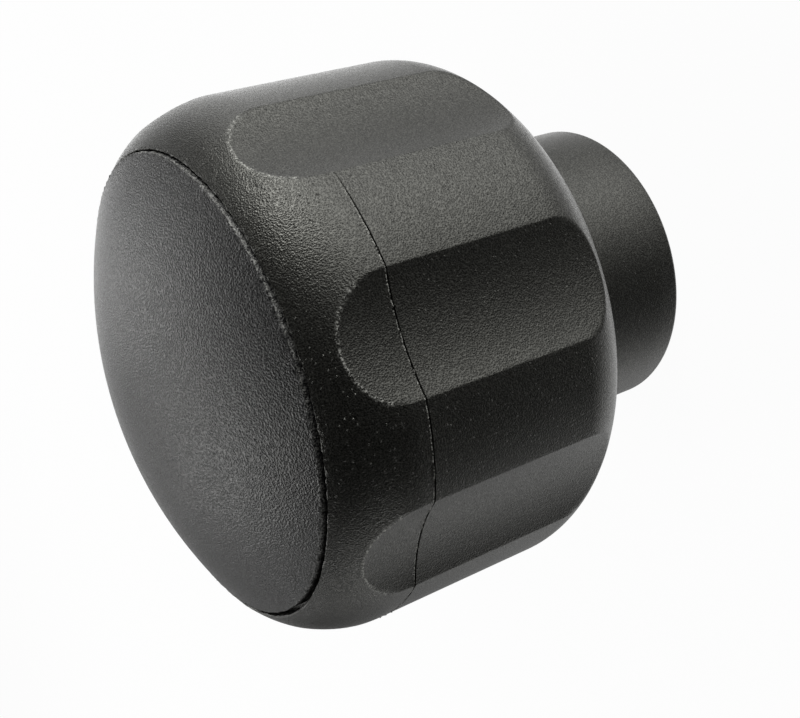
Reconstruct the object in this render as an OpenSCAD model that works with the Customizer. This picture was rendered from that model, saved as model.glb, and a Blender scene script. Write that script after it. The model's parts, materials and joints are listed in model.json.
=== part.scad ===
// Fluted clamping knob. A hollow moulded grip stands on a round hub, a domed
// cap snaps into its front, and a blind threaded brass bush is moulded into
// the hub. Z = 0 is the end face of the hub, and +Z runs out through the cap.

/* [Grip] */
// Diameter over the lobes
grip_d = 40; // [38:0.5:50]
// Height from the rear face to the rim around the cap
grip_h = 25; // [21:0.1:32]
// Radial width of the rounded rim between the side and the cap
rim_w = 2.8; // [2.4:0.1:3.2]
// Height of that rounding
rim_h = 5.8; // [4:0.1:7]
// Radius from the side to the rear face
rear_r = 5.5; // [2:0.1:6]
// Thickness of the side wall behind the flutes
wall_t = 3.2; // [2.9:0.1:4]
// Thickness of the rear wall
floor_t = 2.6; // [2:0.1:4]

/* [Flutes] */
// Number of flutes
flute_n = 8; // [6:1:12]
// Width of a flute from lip to lip
flute_w = 8.4; // [6:0.1:9]
// Depth of a flute below the lobes
flute_depth = 1.05; // [0.7:0.05:1.2]

/* [Hub] */
// Diameter of the hub
hub_d = 23; // [19:0.1:26]
// Height of the hub below the grip's rear face
hub_h = 11.5; // [8:0.1:20]
// Radius of the edge round the hub's end face
hub_edge_r = 0.4; // [0.2:0.1:1]
// Fillet between the hub and the grip's rear face
hub_root_r = 1.2; // [0.5:0.1:2]

/* [Cap] */
// Rise of the dome above its seam
dome_h = 4.5; // [3:0.1:6]
// Wall thickness of the dome
cap_t = 1.8; // [1.4:0.1:2.4]
// Depth at which the cap's edge seats below the rim
seat_h = 1.5; // [1.2:0.1:2.5]
// Open gap of the seam round the cap
seam_gap = 0.2; // [0.1:0.01:0.3]
// Radius of the edge round the dome
cap_edge_r = 0.25; // [0.1:0.05:0.5]
// Step from the rim up to the edge of the dome
cap_step = 0.15; // [0:0.05:0.3]
// Length of the snap fingers below the seat
finger_h = 4.6; // [4:0.1:6]
// Thickness of the snap fingers
finger_t = 1.4; // [1.2:0.1:2]
// Number of snap fingers
finger_n = 8; // [4:4:12]
// Width of the slot between two fingers
slot_w = 2; // [1:0.1:3]
// Clearance between the fingers and the grip's bore
finger_gap = 0.1; // [0.05:0.01:0.2]
// Height that the snap bead stands out of a finger
bead_h = 0.3; // [0.2:0.05:0.5]
// Chamfer that leads the fingers into the bore
lead_in = 0.4; // [0.2:0.1:0.6]

/* [Ribs] */
// Number of ribs inside the grip
rib_n = 8; // [4:4:12]
// Thickness of a rib
rib_t = 1.6; // [1.2:0.1:2.5]
// Clearance between the ribs' tops and the snap fingers
rib_gap = 1; // [0.5:0.1:2]

/* [Bush] */
// Core diameter of the thread, 6.65 for M8
thread_core_d = 6.65; // [4.1:0.05:8.5]
// Outer diameter of the thread, 8 for M8
thread_d = 8; // [5:1:10]
// Usable depth of the thread
thread_h = 14; // [8:0.5:15]
// Outer diameter of the bush
bush_d = 13; // [12:0.1:14]
// Metal left above the tip of the drilled hole
bush_end_t = 1.5; // [1:0.1:3]
// Height of the plain collar at each end of the bush
collar_h = 1.6; // [1:0.1:2.5]
// Number of knurl teeth round the bush
knurl_n = 36; // [24:2:48]
// Depth of the knurl
knurl_depth = 0.35; // [0.2:0.05:0.5]
// Step from the collars down to the tips of the knurl
knurl_step = 0.1; // [0.05:0.05:0.2]
// Height of the holding groove round the middle of the bush
groove_h = 2.4; // [1.5:0.1:4]
// Depth of the holding groove
groove_depth = 0.8; // [0.5:0.1:1]
// Thickness of the moulding round and above the bush
boss_t = 2.4; // [1.8:0.1:4]

/* [Hidden] */
$fn = 96;

eps = 0.01;
grip_r = grip_d / 2;
rim_z = hub_h + grip_h;
seat_z = rim_z - seat_h;

// The rim's arc is tangent to the side and ends at the seam.
seam_r = grip_r - rim_w;
rim_r = (rim_w * rim_w + rim_h * rim_h) / (2 * rim_w);

// A flute is a straight groove whose arc passes both lips and its own bottom.
lip_x = sqrt(grip_r * grip_r - flute_w * flute_w / 4);
flute_sag = flute_depth - (grip_r - lip_x);
flute_r = (flute_w * flute_w / 4 + flute_sag * flute_sag) / (2 * flute_sag);
flute_pitch = 360 / flute_n;

// The dome is part of a sphere that passes through the cap's edge.
cap_r = seam_r - seam_gap;
dome_r = (cap_r * cap_r + dome_h * dome_h) / (2 * dome_h);
dome_z = rim_z + cap_step + dome_h - dome_r;
cap_edge_x = cap_r - cap_edge_r;
cap_edge_z = dome_z + sqrt(pow(dome_r - cap_edge_r, 2) - cap_edge_x * cap_edge_x);
cap_edge_angle = atan2(cap_edge_z - dome_z, cap_edge_x);

bore_r = grip_r - flute_depth - wall_t;
floor_z = hub_h + floor_t;
finger_r = bore_r - finger_gap;
finger_z = seat_z - finger_h;
bead_r = 2 * bead_h;
bead_z = finger_z + 1.5 * bead_r;

// The drilled hole ends in a cone of 118 degrees, and its mouth is countersunk.
core_r = thread_core_d / 2;
drill_tip_h = core_r / tan(59);
mouth_r = thread_d / 2 + 0.2;
mouth_h = mouth_r - core_r;
bush_r = bush_d / 2;
bush_h = thread_h + drill_tip_h + bush_end_t;
boss_r = bush_r + boss_t;
boss_z = bush_h + boss_t;

// Half section of the grip and hub, without the hollow.
module body_section() {
    difference() {
        translate([0, hub_h]) square([grip_r, grip_h]);
        difference() {
            translate([grip_r - rear_r, hub_h]) square([rear_r + eps, rear_r]);
            translate([grip_r - rear_r, hub_h + rear_r]) circle(rear_r);
        }
        difference() {
            translate([seam_r, rim_z - rim_h]) square([rim_w + eps, rim_h + eps]);
            translate([grip_r - rim_r, rim_z - rim_h]) circle(rim_r);
        }
    }
    difference() {
        square([hub_d / 2, hub_h + eps]);
        difference() {
            translate([hub_d / 2 - hub_edge_r, 0]) square([hub_edge_r + eps, hub_edge_r]);
            translate([hub_d / 2 - hub_edge_r, hub_edge_r]) circle(hub_edge_r);
        }
    }
    difference() {
        translate([hub_d / 2, hub_h - hub_root_r]) square([hub_root_r, hub_root_r + eps]);
        translate([hub_d / 2 + hub_root_r, hub_h - hub_root_r]) circle(hub_root_r);
    }
}

// Half section of the hollow under the cap, with its seat and snap groove.
module hollow_section() {
    translate([0, floor_z]) square([bore_r, rim_z - floor_z + eps]);
    translate([0, seat_z]) square([seam_r, seat_h + eps]);
    translate([finger_r + bead_h - bead_r, bead_z]) circle(bead_r + finger_gap);
}

module flutes() {
    for (i = [0 : flute_n - 1])
        rotate(i * flute_pitch - 90)
            translate([grip_r - flute_depth + flute_r, 0, hub_h - eps])
                cylinder(h = grip_h + 2 * eps, r = flute_r, $fn = 240);
}

// The boss that holds the bush, tied to the side wall by ribs behind the lobes.
module inner_boss() {
    cylinder(h = boss_z, r = boss_r);
    for (i = [0 : rib_n - 1])
        rotate(i * 360 / rib_n - 90 + flute_pitch / 2)
            rotate([90, 0, 0])
                translate([0, 0, -rib_t / 2])
                    linear_extrude(rib_t)
                        polygon([[bush_r, floor_z - eps], [bore_r + eps, floor_z - eps],
                                 [bore_r + eps, finger_z - rib_gap], [bush_r, boss_z]]);
}

module knurl(z, h) {
    translate([0, 0, z])
        linear_extrude(h)
            polygon([for (i = [0 : 2 * knurl_n - 1])
                let (a = i * 180 / knurl_n, r = bush_r - knurl_step - knurl_depth * (i % 2))
                [r * cos(a), r * sin(a)]]);
}

// Outside of the bush, which is also the shape of its pocket in the moulding.
module bush_outside() {
    band_h = (bush_h - 2 * collar_h - groove_h) / 2;
    cylinder(h = bush_h, r = bush_r - groove_depth);
    cylinder(h = collar_h, r = bush_r);
    translate([0, 0, bush_h - collar_h]) cylinder(h = collar_h, r = bush_r);
    knurl(collar_h, band_h);
    knurl(bush_h - collar_h - band_h, band_h);
}

module knob_body() {
    color([0.16, 0.16, 0.16])
        difference() {
            union() {
                difference() {
                    rotate_extrude() body_section();
                    rotate_extrude() hollow_section();
                    flutes();
                }
                inner_boss();
            }
            bush_outside();
        }
}

// Half section of the cap: the dome with its solid edge, and the ring of the fingers.
module cap_section() {
    difference() {
        intersection() {
            translate([0, dome_z]) circle(dome_r, $fn = 360);
            translate([0, seat_z]) square([cap_r, seat_h + cap_step + dome_h]);
        }
        intersection() {
            translate([0, dome_z]) circle(dome_r - cap_t, $fn = 360);
            translate([0, seat_z - eps]) square([finger_r - finger_t, seat_h + dome_h]);
        }
        translate([cap_edge_x, cap_edge_z])
            difference() {
                polygon([[0, 0], [2 * cap_edge_r, 0],
                         [2 * cap_edge_r * cos(cap_edge_angle),
                          2 * cap_edge_r * sin(cap_edge_angle)]]);
                circle(cap_edge_r);
            }
    }
    polygon([[finger_r - finger_t, finger_z], [finger_r - lead_in, finger_z],
             [finger_r, finger_z + lead_in], [finger_r, rim_z],
             [finger_r - finger_t, rim_z]]);
    translate([finger_r + bead_h - bead_r, bead_z]) circle(bead_r);
}

module end_cap() {
    color([0.17, 0.17, 0.18])
        difference() {
            rotate_extrude() cap_section();
            for (i = [0 : finger_n - 1])
                rotate(i * 360 / finger_n - 90)
                    translate([0, -slot_w / 2, finger_z - eps])
                        cube([cap_r, slot_w, finger_h + eps]);
        }
}

module threaded_bush() {
    color([0.78, 0.62, 0.3])
        difference() {
            bush_outside();
            translate([0, 0, -eps]) cylinder(h = thread_h + eps, r = core_r);
            translate([0, 0, thread_h]) cylinder(h = drill_tip_h, r1 = core_r, r2 = 0);
            translate([0, 0, -eps])
                cylinder(h = mouth_h + eps, r1 = mouth_r + eps, r2 = core_r);
        }
}

knob_body();
end_cap();
threaded_bush();
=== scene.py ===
import json
import math
import bmesh
import bpy
from mathutils import Matrix, Vector

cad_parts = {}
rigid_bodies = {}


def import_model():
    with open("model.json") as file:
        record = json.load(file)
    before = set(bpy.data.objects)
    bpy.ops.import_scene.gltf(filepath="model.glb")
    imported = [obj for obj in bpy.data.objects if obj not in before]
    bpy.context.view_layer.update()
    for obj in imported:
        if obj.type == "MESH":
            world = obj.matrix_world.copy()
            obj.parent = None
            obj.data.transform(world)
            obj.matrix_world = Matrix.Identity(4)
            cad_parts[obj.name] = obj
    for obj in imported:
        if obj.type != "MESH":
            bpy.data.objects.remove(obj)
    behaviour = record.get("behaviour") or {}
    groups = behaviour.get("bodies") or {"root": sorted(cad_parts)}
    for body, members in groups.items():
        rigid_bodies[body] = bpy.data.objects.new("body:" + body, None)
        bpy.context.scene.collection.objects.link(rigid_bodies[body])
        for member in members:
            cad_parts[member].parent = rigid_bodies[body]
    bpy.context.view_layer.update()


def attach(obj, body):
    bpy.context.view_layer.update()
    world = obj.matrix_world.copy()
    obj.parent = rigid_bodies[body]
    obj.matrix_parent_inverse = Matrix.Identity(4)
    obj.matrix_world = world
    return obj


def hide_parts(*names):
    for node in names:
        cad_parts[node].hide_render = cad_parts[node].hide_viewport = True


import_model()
print("frame loaded")

# Sizes are in millimetres and angles in degrees. The knob's axis is Z and the hub stands on z = 0.
mm = 0.001
samePoint = 1e-4  # points closer than this are one point
noiseRange = (0.3, 0.7)  # where nearly all values of a noise texture lie


def linear(hexColour):
    channels = [int(hexColour[i:i + 2], 16) / 255 for i in (1, 3, 5)]
    return [c / 12.92 if c <= 0.04045 else ((c + 0.055) / 1.055) ** 2.4 for c in channels] + [1.0]


def addNode(tree, kind, inputs=(), **settings):
    # The inputs are a list in the node's own order, or a dictionary by name or number.
    node = tree.nodes.new(kind)
    for key, value in settings.items():
        setattr(node, key, value)
    for key, value in (inputs.items() if isinstance(inputs, dict) else enumerate(inputs)):
        if isinstance(value, bpy.types.NodeSocket):
            tree.links.new(value, node.inputs[key])
        else:
            node.inputs[key].default_value = value
    return node


def arc(centre, radius, start, end, steps):
    angles = [math.radians(start + (end - start) * i / steps) for i in range(steps + 1)]
    return [(centre[0] + radius * math.cos(a), centre[1] + radius * math.sin(a)) for a in angles]


def line(start, end, steps):
    return [(start[0] + (end[0] - start[0]) * i / steps, start[1] + (end[1] - start[1]) * i / steps)
            for i in range(steps + 1)]


def joinRuns(*runs):
    # A point that repeats the end of the run before it is dropped.
    points = []
    for run in runs:
        for point in run:
            if not points or math.dist(points[-1], point) > samePoint:
                points.append(point)
    return points


def meshObject(name, vertices, faces):
    mesh = bpy.data.meshes.new(name)
    mesh.from_pydata([(x * mm, y * mm, z * mm) for x, y, z in vertices], [], faces)
    mesh.validate()
    item = bpy.data.objects.new(name, mesh)
    bpy.context.scene.collection.objects.link(item)
    return item


def revolve(profile, angles, closed=True):
    # The profile runs anticlockwise in the (radius, height) plane, so faces point outwards.
    # A profile point on the axis becomes one shared vertex.
    vertices, rings = [], []
    for radius, height in profile:
        if radius < samePoint:
            rings.append([len(vertices)] * len(angles))
            vertices.append((0, 0, height))
        else:
            rings.append(list(range(len(vertices), len(vertices) + len(angles))))
            vertices += [(radius * math.cos(a), radius * math.sin(a), height) for a in angles]
    faces = []
    count = len(angles)
    for low, high in zip(rings, rings[1:]):
        for i in range(count if closed else count - 1):
            j = (i + 1) % count
            corners = [low[i], low[j], high[j], high[i]]
            face = [c for k, c in enumerate(corners) if c != corners[k - 1]]
            if len(face) > 2:
                faces.append(face)
    return vertices, faces


def mergeDoubles(item):
    work = bmesh.new()
    work.from_mesh(item.data)
    bmesh.ops.remove_doubles(work, verts=work.verts, dist=samePoint * mm)
    bmesh.ops.dissolve_degenerate(work, edges=work.edges, dist=samePoint * mm)
    work.to_mesh(item.data)
    work.free()


def joinMeshes(target, other):
    # The other becomes part of the target's mesh.
    for item in bpy.context.scene.objects:
        item.select_set(item in (target, other))
    bpy.context.view_layer.objects.active = target
    bpy.ops.object.join()
    return target


def smoothFaces(item, sharpAngle):
    item.data.shade_smooth()
    item.data.set_sharp_from_angle(angle=math.radians(sharpAngle))


def setAttribute(item, name, values):
    layer = item.data.attributes.new(name, "FLOAT", "POINT")
    layer.data.foreach_set("value", values)


def nodeTree(name, sockets):
    tree = bpy.data.node_groups.new(name, "GeometryNodeTree")
    tree.interface.new_socket("Geometry", in_out="INPUT", socket_type="NodeSocketGeometry")
    for label, kind in sockets:
        tree.interface.new_socket(label, in_out="INPUT", socket_type=kind)
    tree.interface.new_socket("Geometry", in_out="OUTPUT", socket_type="NodeSocketGeometry")
    return tree


def endTree(tree, geometry, material):
    # Every tree ends in real geometry that carries its material.
    solid = addNode(tree, "GeometryNodeRealizeInstances", [geometry]).outputs[0]
    finish = addNode(tree, "GeometryNodeSetMaterial", {"Geometry": solid, "Material": material}).outputs[0]
    addNode(tree, "NodeGroupOutput", [finish])
    return tree


def runTree(item, tree, values):
    # The inputs are set by identifier before the object is evaluated, then the result is kept.
    modifier = item.modifiers.new(tree.name, "NODES")
    modifier.node_group = tree
    for socket in tree.interface.items_tree:
        if socket.in_out == "INPUT" and socket.name in values:
            modifier[socket.identifier] = values[socket.name]
    graph = bpy.context.evaluated_depsgraph_get()
    mesh = bpy.data.meshes.new_from_object(item.evaluated_get(graph))
    item.modifiers.clear()
    item.data = mesh
    return item


def roundArray():
    # Copies its geometry round the Z axis.
    tree = nodeTree("roundArray", [
        ("Copies", "NodeSocketInt"), ("First Angle", "NodeSocketFloat"),
        ("Material", "NodeSocketMaterial")])
    given = addNode(tree, "NodeGroupInput").outputs
    index = addNode(tree, "GeometryNodeInputIndex").outputs[0]
    step = addNode(tree, "ShaderNodeMath", [2 * math.pi, given["Copies"]], operation="DIVIDE").outputs[0]
    angle = addNode(tree, "ShaderNodeMath", [index, step, given["First Angle"]],
                    operation="MULTIPLY_ADD").outputs[0]
    turned = addNode(tree, "ShaderNodeCombineXYZ", {"Z": angle}).outputs[0]
    points = addNode(tree, "GeometryNodePoints", {"Count": given["Copies"]}).outputs[0]
    copies = addNode(tree, "GeometryNodeInstanceOnPoints", {
        "Points": points, "Instance": given["Geometry"], "Rotation": turned}).outputs[0]
    return endTree(tree, copies, given["Material"])


plastic = {
    "grainWidth": 0.09,
    "grainShare": 0.7,  # share of the fine noise in the skin's height
    "pitWidth": 0.12,
    "pitShare": 1.3,  # and of the distance to the nearest pit
    "skinRange": (0.6, 1.4),  # the skin's height from pit to peak
    "pitPaintedShade": (0.35, 1.65),  # times the colour, from pit to peak: painted shade in the pits, painted light on the peaks
    "pitPaintedSpecular": (0.27, 0.73),  # specular level, from pit to peak: painted shade in the pits, painted highlight on the peaks
    "chipWidth": 0.14,
    "chipRange": (0.47, 0.6),  # noise from bare to fully whitened
    # Pale colour of worn edges; on the flutes' lips it is also a painted highlight of the rounded edge.
    "paleWearAndHighlight": "#b0b0aa",
    "blotchWidth": 6.0,
    "blotchShade": (0.9, 1.1),  # times the colour
    "fleckSpacing": 0.36,
    "fleckRange": (0.05, 0.2),  # full height up to the first distance, gone at the second, in cells
    "fleckHeight": 2.2,  # next to a skin of about 1
    "fleckless": 0.4,  # share of the cells without a fleck
    "grainByHeight": [(9.0, 0.45), (12.5, 0.8), (30.5, 0.8), (33.0, 1.0)],  # height, grain depth
    "hubRoughness": 0.06,  # more than on the grip
    "roughnessRange": (-0.1, 0.1),  # added where the fine noise is low and high
    "ior": 1.53,
}
bodyFinish = {
    "colour": "#1b1b19",
    "shine": "#fffff5",
    "grainHeight": 0.019,
    "grainSize": 1.0,
    "roughness": 0.33,
}
capFinish = {
    "colour": "#19191a",
    "shine": "#fffffa",
    "grainHeight": 0.025,
    "grainSize": 1.15,
    "roughness": 0.39,
}


def polyamide(name, finish, smoothHub=False):
    # Black moulded polyamide from a spark-eroded mould: matt, with fine pits whose hollows are painted
    # darker and whose rims painted lighter and shinier, as painted shade and light, and a few flecks of
    # glass fibre that stand out of the skin.
    material = bpy.data.materials.new(name)
    material.use_nodes = True
    tree = material.node_tree
    tree.nodes.clear()
    place = addNode(tree, "ShaderNodeTexCoord").outputs["Object"]
    blotch = addNode(tree, "ShaderNodeTexNoise", {
        "Vector": place, "Scale": 1 / (plastic["blotchWidth"] * mm), "Detail": 3.0}).outputs[0]
    fine = addNode(tree, "ShaderNodeTexNoise", {
        "Vector": place, "Scale": 1 / (finish["grainSize"] * plastic["grainWidth"] * mm),
        "Detail": 2.0}).outputs[0]
    pits = addNode(tree, "ShaderNodeTexVoronoi", {
        "Vector": place, "Scale": 1 / (finish["grainSize"] * plastic["pitWidth"] * mm)}).outputs["Distance"]
    deep = addNode(tree, "ShaderNodeMath", [pits, plastic["pitShare"]], operation="MULTIPLY").outputs[0]
    skin = addNode(tree, "ShaderNodeMath", [fine, plastic["grainShare"], deep],
                   operation="MULTIPLY_ADD").outputs[0]

    cells = addNode(tree, "ShaderNodeTexVoronoi", {
        "Vector": place, "Scale": 1 / (plastic["fleckSpacing"] * mm)}).outputs
    chance = addNode(tree, "ShaderNodeSeparateColor", [cells["Color"]]).outputs[0]
    chosen = addNode(tree, "ShaderNodeMath", [chance, plastic["fleckless"]],
                     operation="GREATER_THAN").outputs[0]
    speck = addNode(tree, "ShaderNodeMapRange", [
        cells["Distance"], *plastic["fleckRange"], 1.0, 0.0]).outputs[0]
    fleck = addNode(tree, "ShaderNodeMath", [speck, chosen], operation="MULTIPLY").outputs[0]
    height = addNode(tree, "ShaderNodeMath", [fleck, plastic["fleckHeight"], skin],
                     operation="MULTIPLY_ADD").outputs[0]
    worn = finish["roughness"]
    if smoothHub:
        # The hub is finer and more matt than the grip, and the rounded rim is the coarsest.
        rise = addNode(tree, "ShaderNodeSeparateXYZ", [place]).outputs[2]
        steps = plastic["grainByHeight"]
        level = steps[0][1]
        for (low, before), (high, after) in zip(steps, steps[1:]):
            more = addNode(tree, "ShaderNodeMapRange", [
                rise, low * mm, high * mm, 0.0, after - before]).outputs[0]
            level = addNode(tree, "ShaderNodeMath", [level, more], operation="ADD").outputs[0]
        height = addNode(tree, "ShaderNodeMath", [height, level], operation="MULTIPLY").outputs[0]
        worn = addNode(tree, "ShaderNodeMapRange", [
            rise, steps[0][0] * mm, steps[1][0] * mm,
            finish["roughness"] + plastic["hubRoughness"], finish["roughness"]]).outputs[0]
    bump = addNode(tree, "ShaderNodeBump", {
        "Height": height, "Strength": 1.0, "Distance": finish["grainHeight"] * mm}).outputs[0]

    # The pits are painted darker and the peaks lighter, as painted shade and light, and the worn edges are
    # chipped and whitened, on the flutes' lips also as a painted highlight.
    paintedPitShade = addNode(tree, "ShaderNodeMapRange", [
        skin, *plastic["skinRange"], *plastic["pitPaintedShade"]]).outputs[0]
    cloud = addNode(tree, "ShaderNodeMapRange", [blotch, *noiseRange, *plastic["blotchShade"]]).outputs[0]
    paintedShadeAndBlotches = addNode(tree, "ShaderNodeMath", [paintedPitShade, cloud], operation="MULTIPLY").outputs[0]
    tinted = addNode(tree, "ShaderNodeMix", {
        "Factor": 1.0, 6: linear(finish["colour"]), 7: paintedShadeAndBlotches},
        data_type="RGBA", blend_type="MULTIPLY").outputs[2]
    noise = addNode(tree, "ShaderNodeTexNoise", {
        "Vector": place, "Scale": 1 / (plastic["chipWidth"] * mm), "Detail": 1.0}).outputs[0]
    chips = addNode(tree, "ShaderNodeMapRange", [noise, *plastic["chipRange"], 0.0, 1.0]).outputs[0]
    # This attribute carries worn whitening and, on the flutes' lips, a painted highlight.
    wearAndHighlight = addNode(tree, "ShaderNodeAttribute", attribute_name="wearAndHighlight").outputs["Fac"]
    paleWearAndHighlight = addNode(tree, "ShaderNodeMath", [wearAndHighlight, chips], operation="MULTIPLY").outputs[0]
    coloured = addNode(tree, "ShaderNodeMix", {
        "Factor": paleWearAndHighlight, 6: tinted, 7: linear(plastic["paleWearAndHighlight"])}, data_type="RGBA").outputs[2]

    uneven = addNode(tree, "ShaderNodeMapRange", [fine, *noiseRange, *plastic["roughnessRange"]]).outputs[0]
    gloss = addNode(tree, "ShaderNodeMath", [worn, uneven], operation="ADD").outputs[0]
    # Painted shade and highlight in the specular level too: less in the pits, more on the peaks.
    paintedPitSpecular = addNode(tree, "ShaderNodeMapRange", [
        skin, *plastic["skinRange"], *plastic["pitPaintedSpecular"]]).outputs[0]
    surface = addNode(tree, "ShaderNodeBsdfPrincipled", {
        "Base Color": coloured, "Roughness": gloss, "IOR": plastic["ior"], "Specular IOR Level": paintedPitSpecular,
        "Specular Tint": linear(finish["shine"]), "Normal": bump}).outputs[0]
    addNode(tree, "ShaderNodeOutputMaterial", [surface])
    return material


brassFinish = {
    "colour": "#c8a25a",
    "ringWidth": 0.12,
    "ringHeight": 0.006,
    "ringStrength": 0.6,
    "roughnessRange": (0.24, 0.38),
}


def brass():
    # Free-cutting brass, turned: fine rings round the axis left by the tool.
    material = bpy.data.materials.new("turnedBrass")
    material.use_nodes = True
    tree = material.node_tree
    tree.nodes.clear()
    place = addNode(tree, "ShaderNodeTexCoord").outputs["Object"]
    parts = addNode(tree, "ShaderNodeSeparateXYZ", [place]).outputs
    flat = addNode(tree, "ShaderNodeCombineXYZ", [parts[0], parts[1]]).outputs[0]
    distance = addNode(tree, "ShaderNodeVectorMath", [flat], operation="LENGTH").outputs["Value"]
    rings = addNode(tree, "ShaderNodeTexNoise", {
        "W": distance, "Scale": 1 / (brassFinish["ringWidth"] * mm), "Detail": 2.0},
        noise_dimensions="1D").outputs[0]
    bump = addNode(tree, "ShaderNodeBump", {
        "Height": rings, "Strength": brassFinish["ringStrength"],
        "Distance": brassFinish["ringHeight"] * mm}).outputs[0]
    gloss = addNode(tree, "ShaderNodeMapRange", [
        rings, *noiseRange, *brassFinish["roughnessRange"]]).outputs[0]
    surface = addNode(tree, "ShaderNodeBsdfPrincipled", {
        "Base Color": linear(brassFinish["colour"]), "Metallic": 1.0, "Roughness": gloss,
        "Normal": bump}).outputs[0]
    addNode(tree, "ShaderNodeOutputMaterial", [surface])
    return material


hub = {
    "radius": 11.5,
    "height": 11.5,
    "edge": 0.4,  # rounding of the hub's end
    "root": 1.2,  # fillet between hub and grip
}
grip = {
    "radius": 20.0,
    "height": 25.0,
    "rimWidth": 2.8,  # rounded front edge, seen from the front
    "rimHeight": 5.8,  # and along the axis
    "rimEdge": 0.12,  # rounding at the seam with the cap
    "rimSide": 0.4,  # a row of vertices this far below the rim
    "rearRadius": 5.5,
    "boreRadius": 15.75,
    "floor": 2.6,
    "rearRows": 26,
    "rimRows": 62,
    "rimEndRows": 14,
    "sharpAngle": 32,
}
flute = {
    "count": 8,
    "width": 8.4,
    "depth": 1.05,
    "lipBlend": 0.06,
    "wearAndHighlightFrom": 0.12,  # lips are whitened, as wear and as a painted highlight, where they lie this far inside the grip's radius
    "wornReach": 0.07,
    "tipRadius": 18.9,  # just inside the flutes' floor, where they run out
    "columns": 58,  # even columns of vertices in one pitch
    "lipColumns": (-0.36, -0.14, 0.0, 0.14, 0.36),  # degrees from a lip to the columns beside it
    "columnGap": 0.25,  # an even column nearer to those is left out
}
partingLine = {
    "height": 18.6,  # above the rear of the grip
    "clear": 0.5,  # rows of the plain wall stop this far below
    "groove": 0.18,
    "flash": 0.16,
    "flashGrain": 0.35,
    "flashGain": 6.0,  # flash stands where the noise times the gain passes the start
    "flashStart": 3.1,
    "worn": 1.8,  # how much the flash is whitened
    "wander": 0.06,
    "wanderGrain": 1.4286,
    "facing": -120.0,  # the line is plainest at this azimuth and opposite it
    "faintBelow": 0.42,  # cosine of the angle from there at which it is gone
    "fullAbove": 0.72,  # and at which it is full
    "seed": 4.0,
}
# Rows of vertices across the parting line: height offset, share of the groove, share of the flash.
partingRows = [(-0.3, 0, 0), (-0.1, 0, 0), (-0.08, 0, 0), (-0.052, 1, 0), (0.026, 1, 0), (0.048, 0.1, 0.5),
               (0.07, 0, 1), (0.095, 0, 0.5), (0.15, 0, 0), (0.3, 0, 0)]


def gripProfile():
    radius = grip["radius"]
    rearZ = hub["height"]
    rearR = grip["rearRadius"]
    rimR = (grip["rimWidth"] ** 2 + grip["rimHeight"] ** 2) / (2 * grip["rimWidth"])
    rimStart = rimZ - grip["rimHeight"]
    rimCentre = (radius - rimR, rimStart)
    tipRear = math.degrees(math.acos((flute["tipRadius"] - radius + rearR) / rearR))
    tipFront = math.degrees(math.acos((flute["tipRadius"] - radius + rimR) / rimR))
    seamAngle = math.degrees(math.asin((grip["rimHeight"] - grip["rimEdge"]) / rimR))
    hubR = hub["radius"]
    edge = hub["edge"]
    root = hub["root"]
    outside = joinRuns(
        line((bush["radius"], 0), (hubR - edge, 0), 3),
        arc((hubR - edge, edge), edge, -90, 0, 6),
        line((hubR, edge), (hubR, rearZ - root), 5),
        arc((hubR + root, rearZ - root), root, 180, 90, 6),
        line((hubR + root, rearZ), (radius - rearR, rearZ), 2),
        arc((radius - rearR, rearZ + rearR), rearR, -90, -tipRear, 8),
        arc((radius - rearR, rearZ + rearR), rearR, -tipRear, 0, grip["rearRows"]),
        line((radius, rearZ + rearR), (radius, partingZ - partingLine["clear"]), 7),
        [(radius, partingZ + offset) for offset, groove, flash in partingRows],
        arc(rimCentre, rimR, 0, tipFront, grip["rimRows"]),
        arc(rimCentre, rimR, tipFront, seamAngle, grip["rimEndRows"]),
    )
    # The bore groove takes the snap bead of the cap's fingers.
    centreR = fingerRadius + cap["bead"] - beadRadius
    grooveR = beadRadius + cap["fingerGap"]
    reach = math.degrees(math.acos((grip["boreRadius"] - centreR) / grooveR))
    inside = joinRuns(
        arc((seamRadius + grip["rimEdge"], rimZ - grip["rimEdge"] * 2), grip["rimEdge"], 100, 180, 3),
        line((seamRadius, rimZ - grip["rimSide"]), (seamRadius, seatZ), 2),
        [(grip["boreRadius"], seatZ)],
        arc((centreR, beadZ), grooveR, reach, -reach, 6),
        [(grip["boreRadius"], rearZ + grip["floor"])],
        [(bossRadius, rearZ + grip["floor"]), (bossRadius, bossTop), (0, bossTop)],
    )
    pocket = [(0, bush["height"]), (bush["radius"], bush["height"]), (bush["radius"], edge / 2)]
    return joinRuns(pocket, outside, inside)


def fluteColumns():
    # Columns of vertices round the grip, with a close row of them along both lips of each flute.
    pitch = 360 / flute["count"]
    lip = math.degrees(math.asin(flute["width"] / 2 / grip["radius"]))
    near = [side * (lip + offset) for side in (-1, 1) for offset in flute["lipColumns"]]
    plain = [-pitch / 2 + pitch * i / flute["columns"] for i in range(flute["columns"])]
    plain = [angle for angle in plain if all(abs(angle - other) > flute["columnGap"] for other in near)]
    columns = sorted(plain + near)
    return [math.radians(-90 + pitch * turn + angle) for turn in range(flute["count"]) for angle in columns]


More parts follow.
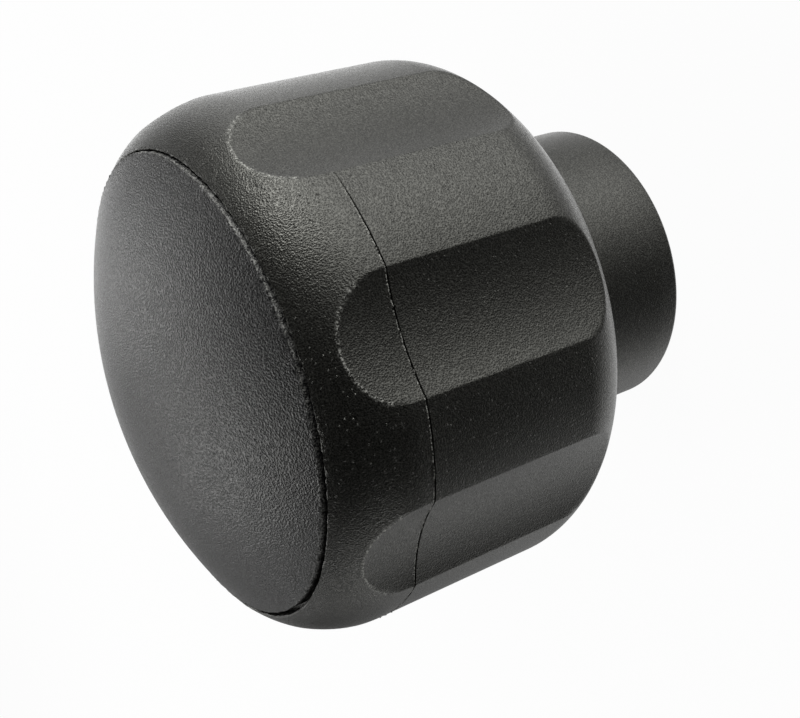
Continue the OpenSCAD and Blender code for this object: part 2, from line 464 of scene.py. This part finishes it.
def fluteCutter():
    # Pulls every vertex that lies outside a groove's arc in to that arc, with blended lips.
    tree = nodeTree("fluteCutter", [
        ("Flute Count", "NodeSocketInt"), ("Groove Centre", "NodeSocketFloat"),
        ("Groove Radius", "NodeSocketFloat"), ("Lip Blend", "NodeSocketFloat"),
        ("Line Groove", "NodeSocketFloat"), ("Line Flash", "NodeSocketFloat"),
        ("Flash Grain", "NodeSocketFloat"), ("Flash Gain", "NodeSocketFloat"),
        ("Flash Start", "NodeSocketFloat"), ("Line Wander", "NodeSocketFloat"),
        ("Wander Grain", "NodeSocketFloat"), ("Line Facing", "NodeSocketFloat"),
        ("Faint Below", "NodeSocketFloat"), ("Full Above", "NodeSocketFloat"),
        ("Wear And Highlight Radius", "NodeSocketFloat"), ("Wear And Highlight Height", "NodeSocketFloat"),
        ("Wear And Highlight Reach", "NodeSocketFloat"), ("Line Wear", "NodeSocketFloat"),
        ("Seed", "NodeSocketFloat"), ("Material", "NodeSocketMaterial")])
    given = addNode(tree, "NodeGroupInput").outputs
    position = addNode(tree, "GeometryNodeInputPosition").outputs[0]
    place = addNode(tree, "ShaderNodeSeparateXYZ", [position]).outputs
    flat = addNode(tree, "ShaderNodeCombineXYZ", [place[0], place[1]]).outputs[0]
    distance = addNode(tree, "ShaderNodeVectorMath", [flat], operation="LENGTH").outputs["Value"]
    turn = addNode(tree, "ShaderNodeMath", [place[1], place[0]], operation="ARCTAN2").outputs[0]
    half = addNode(tree, "ShaderNodeMath", [math.pi, given["Flute Count"]], operation="DIVIDE").outputs[0]
    lowest = addNode(tree, "ShaderNodeMath", [half, -1.0], operation="MULTIPLY").outputs[0]
    offset = addNode(tree, "ShaderNodeMath", [turn, half, lowest], operation="WRAP").outputs[0]
    cosine = addNode(tree, "ShaderNodeMath", [offset], operation="COSINE").outputs[0]
    sine = addNode(tree, "ShaderNodeMath", [offset], operation="SINE").outputs[0]
    centre = given["Groove Centre"]
    along = addNode(tree, "ShaderNodeMath", [centre, cosine], operation="MULTIPLY").outputs[0]
    across = addNode(tree, "ShaderNodeMath", [centre, sine], operation="MULTIPLY").outputs[0]
    radiusSquare = addNode(tree, "ShaderNodeMath", [given["Groove Radius"], 2.0],
                           operation="POWER").outputs[0]
    acrossSquare = addNode(tree, "ShaderNodeMath", [across, 2.0], operation="POWER").outputs[0]
    square = addNode(tree, "ShaderNodeMath", [radiusSquare, acrossSquare], operation="SUBTRACT").outputs[0]
    square = addNode(tree, "ShaderNodeMath", [square, 0.0], operation="MAXIMUM").outputs[0]
    inward = addNode(tree, "ShaderNodeMath", [square], operation="SQRT").outputs[0]
    wall = addNode(tree, "ShaderNodeMath", [along, inward], operation="SUBTRACT").outputs[0]
    cut = addNode(tree, "ShaderNodeMath", [distance, wall, given["Lip Blend"]],
                  operation="SMOOTH_MIN").outputs[0]

    # The line is plain where the mould's halves were a little out of line, and fades between.
    aside = addNode(tree, "ShaderNodeMath", [turn, given["Line Facing"]], operation="SUBTRACT").outputs[0]
    swing = addNode(tree, "ShaderNodeMath", [aside], operation="COSINE").outputs[0]
    misfit = addNode(tree, "ShaderNodeMath", [swing], operation="ABSOLUTE").outputs[0]
    plain = addNode(tree, "ShaderNodeMapRange", [
        misfit, given["Faint Below"], given["Full Above"]]).outputs[0]
    groove = addNode(tree, "GeometryNodeInputNamedAttribute", {"Name": "grooveShare"}).outputs[0]
    groove = addNode(tree, "ShaderNodeMath", [plain, groove], operation="MULTIPLY").outputs[0]
    flash = addNode(tree, "GeometryNodeInputNamedAttribute", {"Name": "flashShare"}).outputs[0]
    flash = addNode(tree, "ShaderNodeMath", [plain, flash], operation="MULTIPLY").outputs[0]
    ragged = addNode(tree, "ShaderNodeTexNoise", {
        "Vector": position, "W": given["Seed"], "Scale": given["Flash Grain"], "Detail": 2.0},
        noise_dimensions="4D").outputs[0]
    ragged = addNode(tree, "ShaderNodeMath", [ragged, given["Flash Gain"]], operation="MULTIPLY").outputs[0]
    ragged = addNode(tree, "ShaderNodeMath", [ragged, given["Flash Start"]],
                     operation="SUBTRACT").outputs[0]
    peaks = addNode(tree, "ShaderNodeMath", [ragged, 0.0], operation="MAXIMUM").outputs[0]
    most = addNode(tree, "ShaderNodeMath", [flash, given["Line Flash"]], operation="MULTIPLY").outputs[0]
    raised = addNode(tree, "ShaderNodeMath", [most, peaks], operation="MULTIPLY").outputs[0]
    sunk = addNode(tree, "ShaderNodeMath", [groove, given["Line Groove"]], operation="MULTIPLY").outputs[0]
    flashed = addNode(tree, "ShaderNodeMath", [cut, raised], operation="ADD").outputs[0]
    finished = addNode(tree, "ShaderNodeMath", [flashed, sunk], operation="SUBTRACT").outputs[0]
    scale = addNode(tree, "ShaderNodeMath", [finished, distance], operation="DIVIDE").outputs[0]
    newX = addNode(tree, "ShaderNodeMath", [place[0], scale], operation="MULTIPLY").outputs[0]
    newY = addNode(tree, "ShaderNodeMath", [place[1], scale], operation="MULTIPLY").outputs[0]

    # The line wanders a little up and down.
    both = addNode(tree, "ShaderNodeMath", [groove, flash], operation="ADD").outputs[0]
    onLine = addNode(tree, "ShaderNodeMath", [both, 1.0], operation="MINIMUM").outputs[0]
    slow = addNode(tree, "ShaderNodeTexNoise", {
        "Vector": position, "W": given["Seed"], "Scale": given["Wander Grain"], "Detail": 1.0},
        noise_dimensions="4D").outputs[0]
    slow = addNode(tree, "ShaderNodeMath", [slow, 0.5], operation="SUBTRACT").outputs[0]
    slow = addNode(tree, "ShaderNodeMath", [slow, onLine], operation="MULTIPLY").outputs[0]
    lift = addNode(tree, "ShaderNodeMath", [slow, given["Line Wander"]], operation="MULTIPLY").outputs[0]
    newZ = addNode(tree, "ShaderNodeMath", [place[2], lift], operation="ADD").outputs[0]
    moved = addNode(tree, "ShaderNodeCombineXYZ", [newX, newY, newZ]).outputs[0]

    # The lips are painted pale at the front ends of the grooves, as wear and as a painted highlight of
    # their rounded edges, and the line's flash is worn pale too.
    away = addNode(tree, "ShaderNodeMath", [distance, wall], operation="SUBTRACT").outputs[0]
    away = addNode(tree, "ShaderNodeMath", [away], operation="ABSOLUTE").outputs[0]
    away = addNode(tree, "ShaderNodeMath", [away, given["Wear And Highlight Reach"]], operation="DIVIDE").outputs[0]
    inLip = addNode(tree, "ShaderNodeMath", [1.0, away], operation="SUBTRACT").outputs[0]
    inLip = addNode(tree, "ShaderNodeMath", [inLip, 0.0], operation="MAXIMUM").outputs[0]
    inEnd = addNode(tree, "ShaderNodeMath", [distance, given["Wear And Highlight Radius"]],
                    operation="LESS_THAN").outputs[0]
    inFront = addNode(tree, "ShaderNodeMath", [place[2], given["Wear And Highlight Height"]],
                      operation="GREATER_THAN").outputs[0]
    atEnd = addNode(tree, "ShaderNodeMath", [inEnd, inFront], operation="MULTIPLY").outputs[0]
    lipWearAndHighlight = addNode(tree, "ShaderNodeMath", [atEnd, inLip], operation="MULTIPLY").outputs[0]
    lineWear = addNode(tree, "ShaderNodeMath", [flash, given["Line Wear"]], operation="MULTIPLY").outputs[0]
    wearAndHighlight = addNode(tree, "ShaderNodeMath", [lipWearAndHighlight, lineWear], operation="MAXIMUM").outputs[0]
    marked = addNode(tree, "GeometryNodeStoreNamedAttribute", {
        "Geometry": given["Geometry"], "Name": "wearAndHighlight", "Value": wearAndHighlight}).outputs[0]
    shaped = addNode(tree, "GeometryNodeSetPosition", {"Geometry": marked, "Position": moved}).outputs[0]
    return endTree(tree, shaped, given["Material"])


raggedEdge = {
    "amount": 0.32,
    "grain": 0.24,
    "reach": 0.13,  # full this far from the seam, fading over as much again
    "wornReach": 0.12,
    "wornBody": 0.25,  # how much the plastic is whitened at the seam
    "wornCap": 0.4,
    "seed": 7.0,
}


def edgeRougher():
    # Moves the marked vertices about a little, as the worn edges of a mould leave them.
    tree = nodeTree("edgeRougher", [
        ("Amount", "NodeSocketFloat"), ("Grain", "NodeSocketFloat"), ("Seed", "NodeSocketFloat"),
        ("Material", "NodeSocketMaterial")])
    given = addNode(tree, "NodeGroupInput").outputs
    position = addNode(tree, "GeometryNodeInputPosition").outputs[0]
    share = addNode(tree, "GeometryNodeInputNamedAttribute", {"Name": "edgeShare"}).outputs[0]
    ragged = addNode(tree, "ShaderNodeTexNoise", {
        "Vector": position, "W": given["Seed"], "Scale": given["Grain"], "Detail": 3.0},
        noise_dimensions="4D").outputs[1]
    centred = addNode(tree, "ShaderNodeVectorMath", [ragged, (0.5, 0.5, 0.5)],
                      operation="SUBTRACT").outputs[0]
    amount = addNode(tree, "ShaderNodeMath", [share, given["Amount"]], operation="MULTIPLY").outputs[0]
    move = addNode(tree, "ShaderNodeVectorMath", {0: centred, "Scale": amount},
                   operation="SCALE").outputs[0]
    shaped = addNode(tree, "GeometryNodeSetPosition", {
        "Geometry": given["Geometry"], "Offset": move}).outputs[0]
    return endTree(tree, shaped, given["Material"])


def roughenEdge(item, radius, height, material, worn):
    # Marks the vertices near the seam on the outside, and roughens them. The plastic whitens there.
    shares, wearAndHighlight = [], []
    for vertex in item.data.vertices:
        away = math.hypot(math.hypot(vertex.co.x, vertex.co.y) - radius * mm, vertex.co.z - height * mm)
        shares.append(max(0.0, min(1.0, 2 - away / (raggedEdge["reach"] * mm))))
        wearAndHighlight.append(worn * max(0.0, 1 - away / (raggedEdge["wornReach"] * mm)))
    setAttribute(item, "edgeShare", shares)
    runTree(item, edgeRougher(), {
        "Amount": raggedEdge["amount"] * mm, "Grain": 1 / (raggedEdge["grain"] * mm),
        "Seed": raggedEdge["seed"], "Material": material})
    item.data.attributes.remove(item.data.attributes["edgeShare"])
    before = item.data.attributes.get("wearAndHighlight")
    if before:
        wearAndHighlight = [max(new, old.value) for new, old in zip(wearAndHighlight, before.data)]
        item.data.attributes.remove(before)
    setAttribute(item, "wearAndHighlight", wearAndHighlight)


def makeBody():
    vertices, faces = revolve(gripProfile(), fluteColumns())
    body = meshObject("knobBody", vertices, faces)
    groove = [0.0] * len(vertices)
    flash = [0.0] * len(vertices)
    for i, (x, y, z) in enumerate(vertices):
        if math.hypot(x, y) > grip["radius"] - samePoint:
            for offset, grooveShare, flashShare in partingRows:
                if abs(z - partingZ - offset) < samePoint:
                    groove[i] = grooveShare
                    flash[i] = flashShare
    setAttribute(body, "grooveShare", groove)
    setAttribute(body, "flashShare", flash)
    lipX = math.sqrt(grip["radius"] ** 2 - flute["width"] ** 2 / 4)
    sag = flute["depth"] - grip["radius"] + lipX
    grooveRadius = (flute["width"] ** 2 / 4 + sag ** 2) / (2 * sag)
    runTree(body, fluteCutter(), {
        "Flute Count": flute["count"],
        "Groove Centre": (grip["radius"] - flute["depth"] + grooveRadius) * mm,
        "Groove Radius": grooveRadius * mm,
        "Lip Blend": flute["lipBlend"] * mm,
        "Line Groove": partingLine["groove"] * mm,
        "Line Flash": partingLine["flash"] * mm,
        "Flash Grain": 1 / (partingLine["flashGrain"] * mm),
        "Flash Gain": partingLine["flashGain"],
        "Flash Start": partingLine["flashStart"],
        "Line Wander": partingLine["wander"] * mm,
        "Wander Grain": 1 / (partingLine["wanderGrain"] * mm),
        "Line Facing": math.radians(partingLine["facing"]),
        "Faint Below": partingLine["faintBelow"],
        "Full Above": partingLine["fullAbove"],
        "Wear And Highlight Radius": (grip["radius"] - flute["wearAndHighlightFrom"]) * mm,
        "Wear And Highlight Height": partingZ * mm,
        "Wear And Highlight Reach": flute["wornReach"] * mm,
        "Line Wear": partingLine["worn"],
        "Seed": partingLine["seed"],
        "Material": bodyPlastic})
    body.data.attributes.remove(body.data.attributes["grooveShare"])
    body.data.attributes.remove(body.data.attributes["flashShare"])
    roughenEdge(body, seamRadius, rimZ, bodyPlastic, raggedEdge["wornBody"])
    return joinMeshes(body, makeRibs())


rib = {
    "count": 8,
    "thickness": 1.6,
    "gap": 1.0,  # below the fingers
    "fromBush": 0.5,  # plastic left round the bush
    "inFloor": 0.1,  # how far the web goes into the floor
    "inWall": 0.3,  # and into the wall of the bore
    "underTop": 0.05,  # below the top of the boss
}


def makeRibs():
    # One web from the boss to the wall, its top rising outwards, copied behind every lobe.
    low = hub["height"] + grip["floor"] - rib["inFloor"]
    inner = bush["radius"] + rib["fromBush"]
    outer = grip["boreRadius"] + rib["inWall"]
    half = rib["thickness"] / 2
    outline = [(inner, low), (outer, low), (outer, fingerZ - rib["gap"]),
               (inner, bossTop - rib["underTop"])]
    vertices = [(x, side, z) for side in (-half, half) for x, z in outline]
    faces = [[0, 1, 2, 3], [7, 6, 5, 4]]
    faces += [[i, i + 4, (i + 1) % 4 + 4, (i + 1) % 4] for i in range(4)]
    ribs = meshObject("ribs", vertices, faces)
    return runTree(ribs, repeat, {
        "Copies": rib["count"], "First Angle": math.radians(-90 + 180 / flute["count"]),
        "Material": bodyPlastic})


cap = {
    "radius": 17.0,
    "rise": 4.5,
    "wall": 1.8,
    "seat": 1.5,
    "edge": 0.09,  # rounding at the seam
    "closeArc": 1.0,  # degrees of the dome beside the edge with closer rows
    "step": 0.15,  # the edge stands above the rim by this
    "shift": 0.13,  # off centre in its seat
    "columns": 720,
    "sharpAngle": 40,
    "fingers": 8,
    "fingerLength": 4.6,
    "fingerWall": 1.4,
    "fingerGap": 0.1,
    "fingerSteps": 12,
    "slot": 2.0,
    "bead": 0.3,
    "leadIn": 0.4,  # chamfer at the fingers' tips
}


def makeCap():
    domeR = (cap["radius"] ** 2 + cap["rise"] ** 2) / (2 * cap["rise"])
    domeZ = rimZ + cap["step"] + cap["rise"] - domeR
    under = domeR - cap["wall"]
    edge = cap["edge"]
    edgeR = cap["radius"] - edge
    edgeZ = domeZ + math.sqrt((domeR - edge) ** 2 - edgeR ** 2)
    seam = math.degrees(math.atan2(edgeZ - domeZ, edgeR))
    close = seam + cap["closeArc"]
    fingerInner = fingerRadius - cap["fingerWall"]
    underEnd = math.degrees(math.acos(fingerInner / under))
    profile = joinRuns(
        arc((0, domeZ), under, 90, underEnd, 12),
        [(fingerInner, seatZ), (cap["radius"], seatZ)],
        line((cap["radius"], seatZ), (cap["radius"], edgeZ), 3),
        arc((edgeR, edgeZ), edge, 0, seam, 6),
        arc((0, domeZ), domeR, seam, close, 4),
        arc((0, domeZ), domeR, close, 90, 30))
    profile[0] = (0, profile[0][1])
    profile[-1] = (0, profile[-1][1])
    angles = [2 * math.pi * i / cap["columns"] for i in range(cap["columns"])]
    vertices, faces = revolve(profile, angles)
    dome = meshObject("endCap", vertices, faces)
    roughenEdge(dome, cap["radius"], edgeZ, capPlastic, raggedEdge["wornCap"])
    for vertex in dome.data.vertices:
        vertex.co.x += cap["shift"] * mm
    return joinMeshes(dome, makeFingers())


def makeFingers():
    outer = fingerRadius
    inner = outer - cap["fingerWall"]
    reach = math.degrees(math.acos((beadRadius - cap["bead"]) / beadRadius))
    section = joinRuns(
        [(inner, rimZ), (inner, fingerZ), (outer - cap["leadIn"], fingerZ)],
        [(outer, fingerZ + cap["leadIn"])],
        arc((outer + cap["bead"] - beadRadius, beadZ), beadRadius, -reach, reach, 8),
        [(outer, rimZ)])
    slotHalf = math.asin(cap["slot"] / 2 / inner)
    pitch = 2 * math.pi / cap["fingers"]
    steps = cap["fingerSteps"]
    angles = [slotHalf + (pitch - 2 * slotHalf) * i / steps for i in range(steps + 1)]
    # The repeated first point closes the section, and each end gets its own face.
    vertices, faces = revolve(section + section[:1], angles, closed=False)
    count = len(angles)
    corners = len(section)
    faces.append([k * count for k in range(corners)])
    faces.append([k * count + count - 1 for k in reversed(range(corners))])
    finger = meshObject("fingers", vertices, faces)
    mergeDoubles(finger)
    return runTree(finger, repeat, {
        "Copies": cap["fingers"], "First Angle": math.radians(-90), "Material": capPlastic})


bush = {
    "radius": 6.5,
    "core": 3.325,
    "thread": 4.0,
    "pitch": 1.25,
    "rootEnd": 0.25,  # shares of one pitch
    "crestStart": 0.56,
    "crestEnd": 0.69,
    "threadDepth": 14.0,
    "drillAngle": 118,
    "mouth": 4.2,  # radius of the countersink
    "height": 17.498,
    "collar": 1.6,
    "groove": 2.4,
    "grooveDepth": 0.8,
    "teeth": 36,
    "toothDepth": 0.35,
    "toothStep": 0.1,  # tips of the knurl below the collar
    "cover": 2.4,  # plastic round and over the bush
    "sharpAngle": 30,
}


def makeBush():
    teeth = bush["teeth"]
    columns = teeth * 4
    turns = [i / columns for i in range(columns)]
    # Share of the pitch and radius along one turn of the thread, with flat crests and roots.
    threadForm = [(0, bush["core"]), (bush["rootEnd"], bush["core"]),
                  (bush["crestStart"], bush["thread"]), (bush["crestEnd"], bush["thread"])]
    tip = bush["threadDepth"] + bush["core"] / math.tan(math.radians(bush["drillAngle"] / 2))
    thread = []
    for turn in range(-1, int(bush["threadDepth"] / bush["pitch"]) + 2):
        for share, radius in threadForm:
            row = []
            for t in turns:
                z = (turn + share + t) * bush["pitch"]
                z = min(max(z, 0), bush["threadDepth"])
                runOut = min(1, (bush["threadDepth"] - z) / bush["pitch"])
                r = bush["core"] + (radius - bush["core"]) * runOut
                row.append((max(r, bush["mouth"] - z), z))
            thread.append(row)

    def ring(radius, z):
        return [(radius, z)] * columns

    def knurlRing(z):
        tipR = bush["radius"] - bush["toothStep"]
        return [(tipR - bush["toothDepth"] * abs((4 * t * teeth / 2) % 2 - 1), z) for t in turns]

    rows = [ring(0, tip), ring(bush["core"], bush["threadDepth"])]
    firstThread = len(rows)
    rows += reversed(thread)
    lastThread = len(rows) - 1
    rows += [ring(bush["mouth"], 0), ring(bush["radius"], 0)]
    grooveR = bush["radius"] - bush["grooveDepth"]
    band = (bush["height"] - 2 * bush["collar"] - bush["groove"]) / 2
    z = bush["collar"]
    rows += [ring(bush["radius"], z), knurlRing(z), knurlRing(z + band), ring(grooveR, z + band)]
    z += band + bush["groove"]
    rows += [ring(grooveR, z), knurlRing(z), knurlRing(z + band), ring(bush["radius"], z + band)]
    rows += [ring(bush["radius"], bush["height"]), ring(0, bush["height"])]
    vertices = []
    for row in rows:
        vertices += [(r * math.cos(2 * math.pi * t), r * math.sin(2 * math.pi * t), z)
                     for t, (r, z) in zip(turns, row)]

    def follow(k, i):
        # After a whole turn a row of the thread goes on in the row one pitch further in.
        if i < columns:
            return k * columns + i
        if firstThread <= k <= lastThread:
            k = max(k - len(threadForm), firstThread)
        return k * columns

    faces = []
    for k in range(len(rows) - 1):
        for i in range(columns):
            faces.append([follow(k, i), follow(k, i + 1), follow(k + 1, i + 1), follow(k + 1, i)])
    item = meshObject("threadedBush", vertices, faces)
    mergeDoubles(item)
    item.data.materials.append(turnedBrass)
    return item


# Heights and radii that the pieces share.
partingZ = hub["height"] + partingLine["height"]
rimZ = hub["height"] + grip["height"]
seatZ = rimZ - cap["seat"]
seamRadius = grip["radius"] - grip["rimWidth"]
fingerZ = seatZ - cap["fingerLength"]
fingerRadius = grip["boreRadius"] - cap["fingerGap"]
beadRadius = 2 * cap["bead"]
beadZ = fingerZ + 1.5 * beadRadius
bossTop = bush["height"] + bush["cover"]
bossRadius = bush["radius"] + bush["cover"]


# A white tent round the knob: soft panels that reflect in the plastic, each by its azimuth, elevation
# and strength. They stand below the horizon and shine through the floor, as on a lit table.
studio = {
    "floorReach": 3.0,
    "floorGap": 0.03,
    "floorColour": "#e8e8e8",
    "floorGlow": 0.965,
    "panelTightness": 12.0,  # a higher power makes each panel smaller
    "panels": {
        "rightFrontLow": (-25, -6, 4.45),
        "rightBackLow": (28, -13, 1.36),
        "leftLow": (165, -16, 0.79),
        "frontRightLow": (-57, -18, 2.17),
        "backLow": (80, -21, 2.67),
        "rightFrontUnder": (-37, -40, 1.44),
        "leftUnder": (153, -54, 1.13),
        "backUnder": (68, -64, 1.62),
        "bottom": (-155, -70, 0.29),
    },
    "lampDistance": 300.0,
    "lampSize": 120.0,
    "lampAim": 22.0,  # height on the knob at which the lamps point
    "lamps": {
        "keyLight": (340, 20, 0.408),
        "rimLight": (70, 20, 0.042),
        "sideFill": (36, 40, 0.066),
        "backLight": (72, 40, 0.173),
        "backFill": (108, 40, 0.114),
        "sideLight": (130, 20, 0.04),
        "lowLight": (160, 20, 0.056),
        "edgeLight": (180, 3, 0.079),
        "topLight": (120, 60, 0.159),
    },
}


def heading(azimuth, elevation):
    turn = math.radians(azimuth)
    rise = math.radians(elevation)
    return Vector((math.cos(rise) * math.cos(turn), math.cos(rise) * math.sin(turn), math.sin(rise)))


def makeFloor():
    # The floor lies just clear of the hub's end, and is seen from above only.
    reach = studio["floorReach"]
    depth = -studio["floorGap"] * mm
    mesh = bpy.data.meshes.new("floor")
    mesh.from_pydata([(-reach, -reach, depth), (reach, -reach, depth), (reach, reach, depth),
                      (-reach, reach, depth)], [], [[0, 1, 2, 3]])
    floor = bpy.data.objects.new("floor", mesh)
    bpy.context.scene.collection.objects.link(floor)
    paper = bpy.data.materials.new("whitePaper")
    paper.use_nodes = True
    tree = paper.node_tree
    tree.nodes.clear()
    rays = addNode(tree, "ShaderNodeLightPath").outputs
    seen = addNode(tree, "ShaderNodeMath", [rays["Is Camera Ray"], rays["Is Transmission Ray"]],
                   operation="MAXIMUM").outputs[0]
    share = addNode(tree, "ShaderNodeMath", [seen, studio["floorGlow"]], operation="MULTIPLY").outputs[0]
    sheet = addNode(tree, "ShaderNodeBsdfDiffuse", {"Color": linear(studio["floorColour"])}).outputs[0]
    glow = addNode(tree, "ShaderNodeEmission", {"Color": (1, 1, 1, 1), "Strength": 1.0}).outputs[0]
    mixed = addNode(tree, "ShaderNodeMixShader", [share, sheet, glow]).outputs[0]
    clear = addNode(tree, "ShaderNodeBsdfTransparent").outputs[0]
    behind = addNode(tree, "ShaderNodeNewGeometry").outputs["Backfacing"]
    oneSided = addNode(tree, "ShaderNodeMixShader", [behind, mixed, clear]).outputs[0]
    addNode(tree, "ShaderNodeOutputMaterial", [oneSided])
    floor.data.materials.append(paper)
    floor.visible_glossy = False
    floor.visible_shadow = False


def makeTent():
    world = bpy.data.worlds.new("studio")
    bpy.context.scene.world = world
    world.use_nodes = True
    tree = world.node_tree
    tree.nodes.clear()
    toward = addNode(tree, "ShaderNodeTexCoord").outputs["Generated"]
    light = 0.0
    for azimuth, elevation, strength in studio["panels"].values():
        facing = addNode(tree, "ShaderNodeVectorMath", [toward, heading(azimuth, elevation)],
                         operation="DOT_PRODUCT").outputs["Value"]
        front = addNode(tree, "ShaderNodeMath", [facing, 0.0], operation="MAXIMUM").outputs[0]
        spread = addNode(tree, "ShaderNodeMath", [front, studio["panelTightness"]],
                         operation="POWER").outputs[0]
        light = addNode(tree, "ShaderNodeMath", [spread, strength, light],
                        operation="MULTIPLY_ADD").outputs[0]
    rays = addNode(tree, "ShaderNodeLightPath").outputs
    seen = addNode(tree, "ShaderNodeMath", [rays["Is Camera Ray"], rays["Is Transmission Ray"]],
                   operation="MAXIMUM").outputs[0]
    level = addNode(tree, "ShaderNodeMapRange", {"Value": seen, "To Min": light, "To Max": 1.0}).outputs[0]
    sky = addNode(tree, "ShaderNodeBackground", {"Color": (1, 1, 1, 1), "Strength": level}).outputs[0]
    addNode(tree, "ShaderNodeOutputWorld", [sky])


def makeLamps():
    target = Vector((0, 0, studio["lampAim"])) * mm
    for name, (azimuth, elevation, power) in studio["lamps"].items():
        lamp = bpy.data.lights.new(name, "AREA")
        lamp.shape = "DISK"
        lamp.size = studio["lampSize"] * mm
        lamp.energy = power
        item = bpy.data.objects.new(name, lamp)
        bpy.context.scene.collection.objects.link(item)
        away = heading(azimuth, elevation)
        item.location = target + away * studio["lampDistance"] * mm
        item.rotation_mode = "QUATERNION"
        item.rotation_quaternion = away.to_track_quat("Z", "Y")
        item.visible_camera = False


viewPoint = {
    "spot": (3.017, -86.527, 69.574),
    "aim": (-2.667, 0.0, 19.803),
    "roll": 108.94,  # the camera is turned on its side
    "lens": 57.514,
    "sensor": 36.0,
    "near": 5.0,
    "far": 20000.0,
}


def makeCamera():
    spot = Vector(viewPoint["spot"]) * mm
    aim = Vector(viewPoint["aim"]) * mm
    roll = math.radians(viewPoint["roll"])
    forward = (aim - spot).normalized()
    side = forward.cross(Vector((0, 0, 1))).normalized()
    up = side.cross(forward)
    up = up * math.cos(roll) + side * math.sin(roll)
    side = forward.cross(up)
    data = bpy.data.cameras.new("camera")
    data.lens = viewPoint["lens"]
    data.sensor_width = viewPoint["sensor"]
    data.clip_start = viewPoint["near"] * mm
    data.clip_end = viewPoint["far"] * mm
    item = bpy.data.objects.new("camera", data)
    bpy.context.scene.collection.objects.link(item)
    turn = Matrix((side, up, -forward)).transposed()
    item.matrix_world = Matrix.Translation(spot) @ turn.to_4x4()
    bpy.context.scene.camera = item


print("making the materials")
bodyPlastic = polyamide("glassFilledPolyamide", bodyFinish, smoothHub=True)
capPlastic = polyamide("polyamide", capFinish)
turnedBrass = brass()
repeat = roundArray()

print("making the body")
knobBody = makeBody()
smoothFaces(knobBody, grip["sharpAngle"])
print("making the cap")
endCap = makeCap()
smoothFaces(endCap, cap["sharpAngle"])
print("making the bush")
threadedBush = makeBush()
smoothFaces(threadedBush, bush["sharpAngle"])

for piece, node, slotName in ((knobBody, "knob_body", "body_plastic"), (endCap, "end_cap", "cap_plastic"),
                              (threadedBush, "threaded_bush", "bush_brass")):
    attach(piece, "root")
    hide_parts(node)

print("making the studio")
makeFloor()
makeTent()
makeLamps()
makeCamera()
bpy.context.scene.view_settings.view_transform = "Standard"
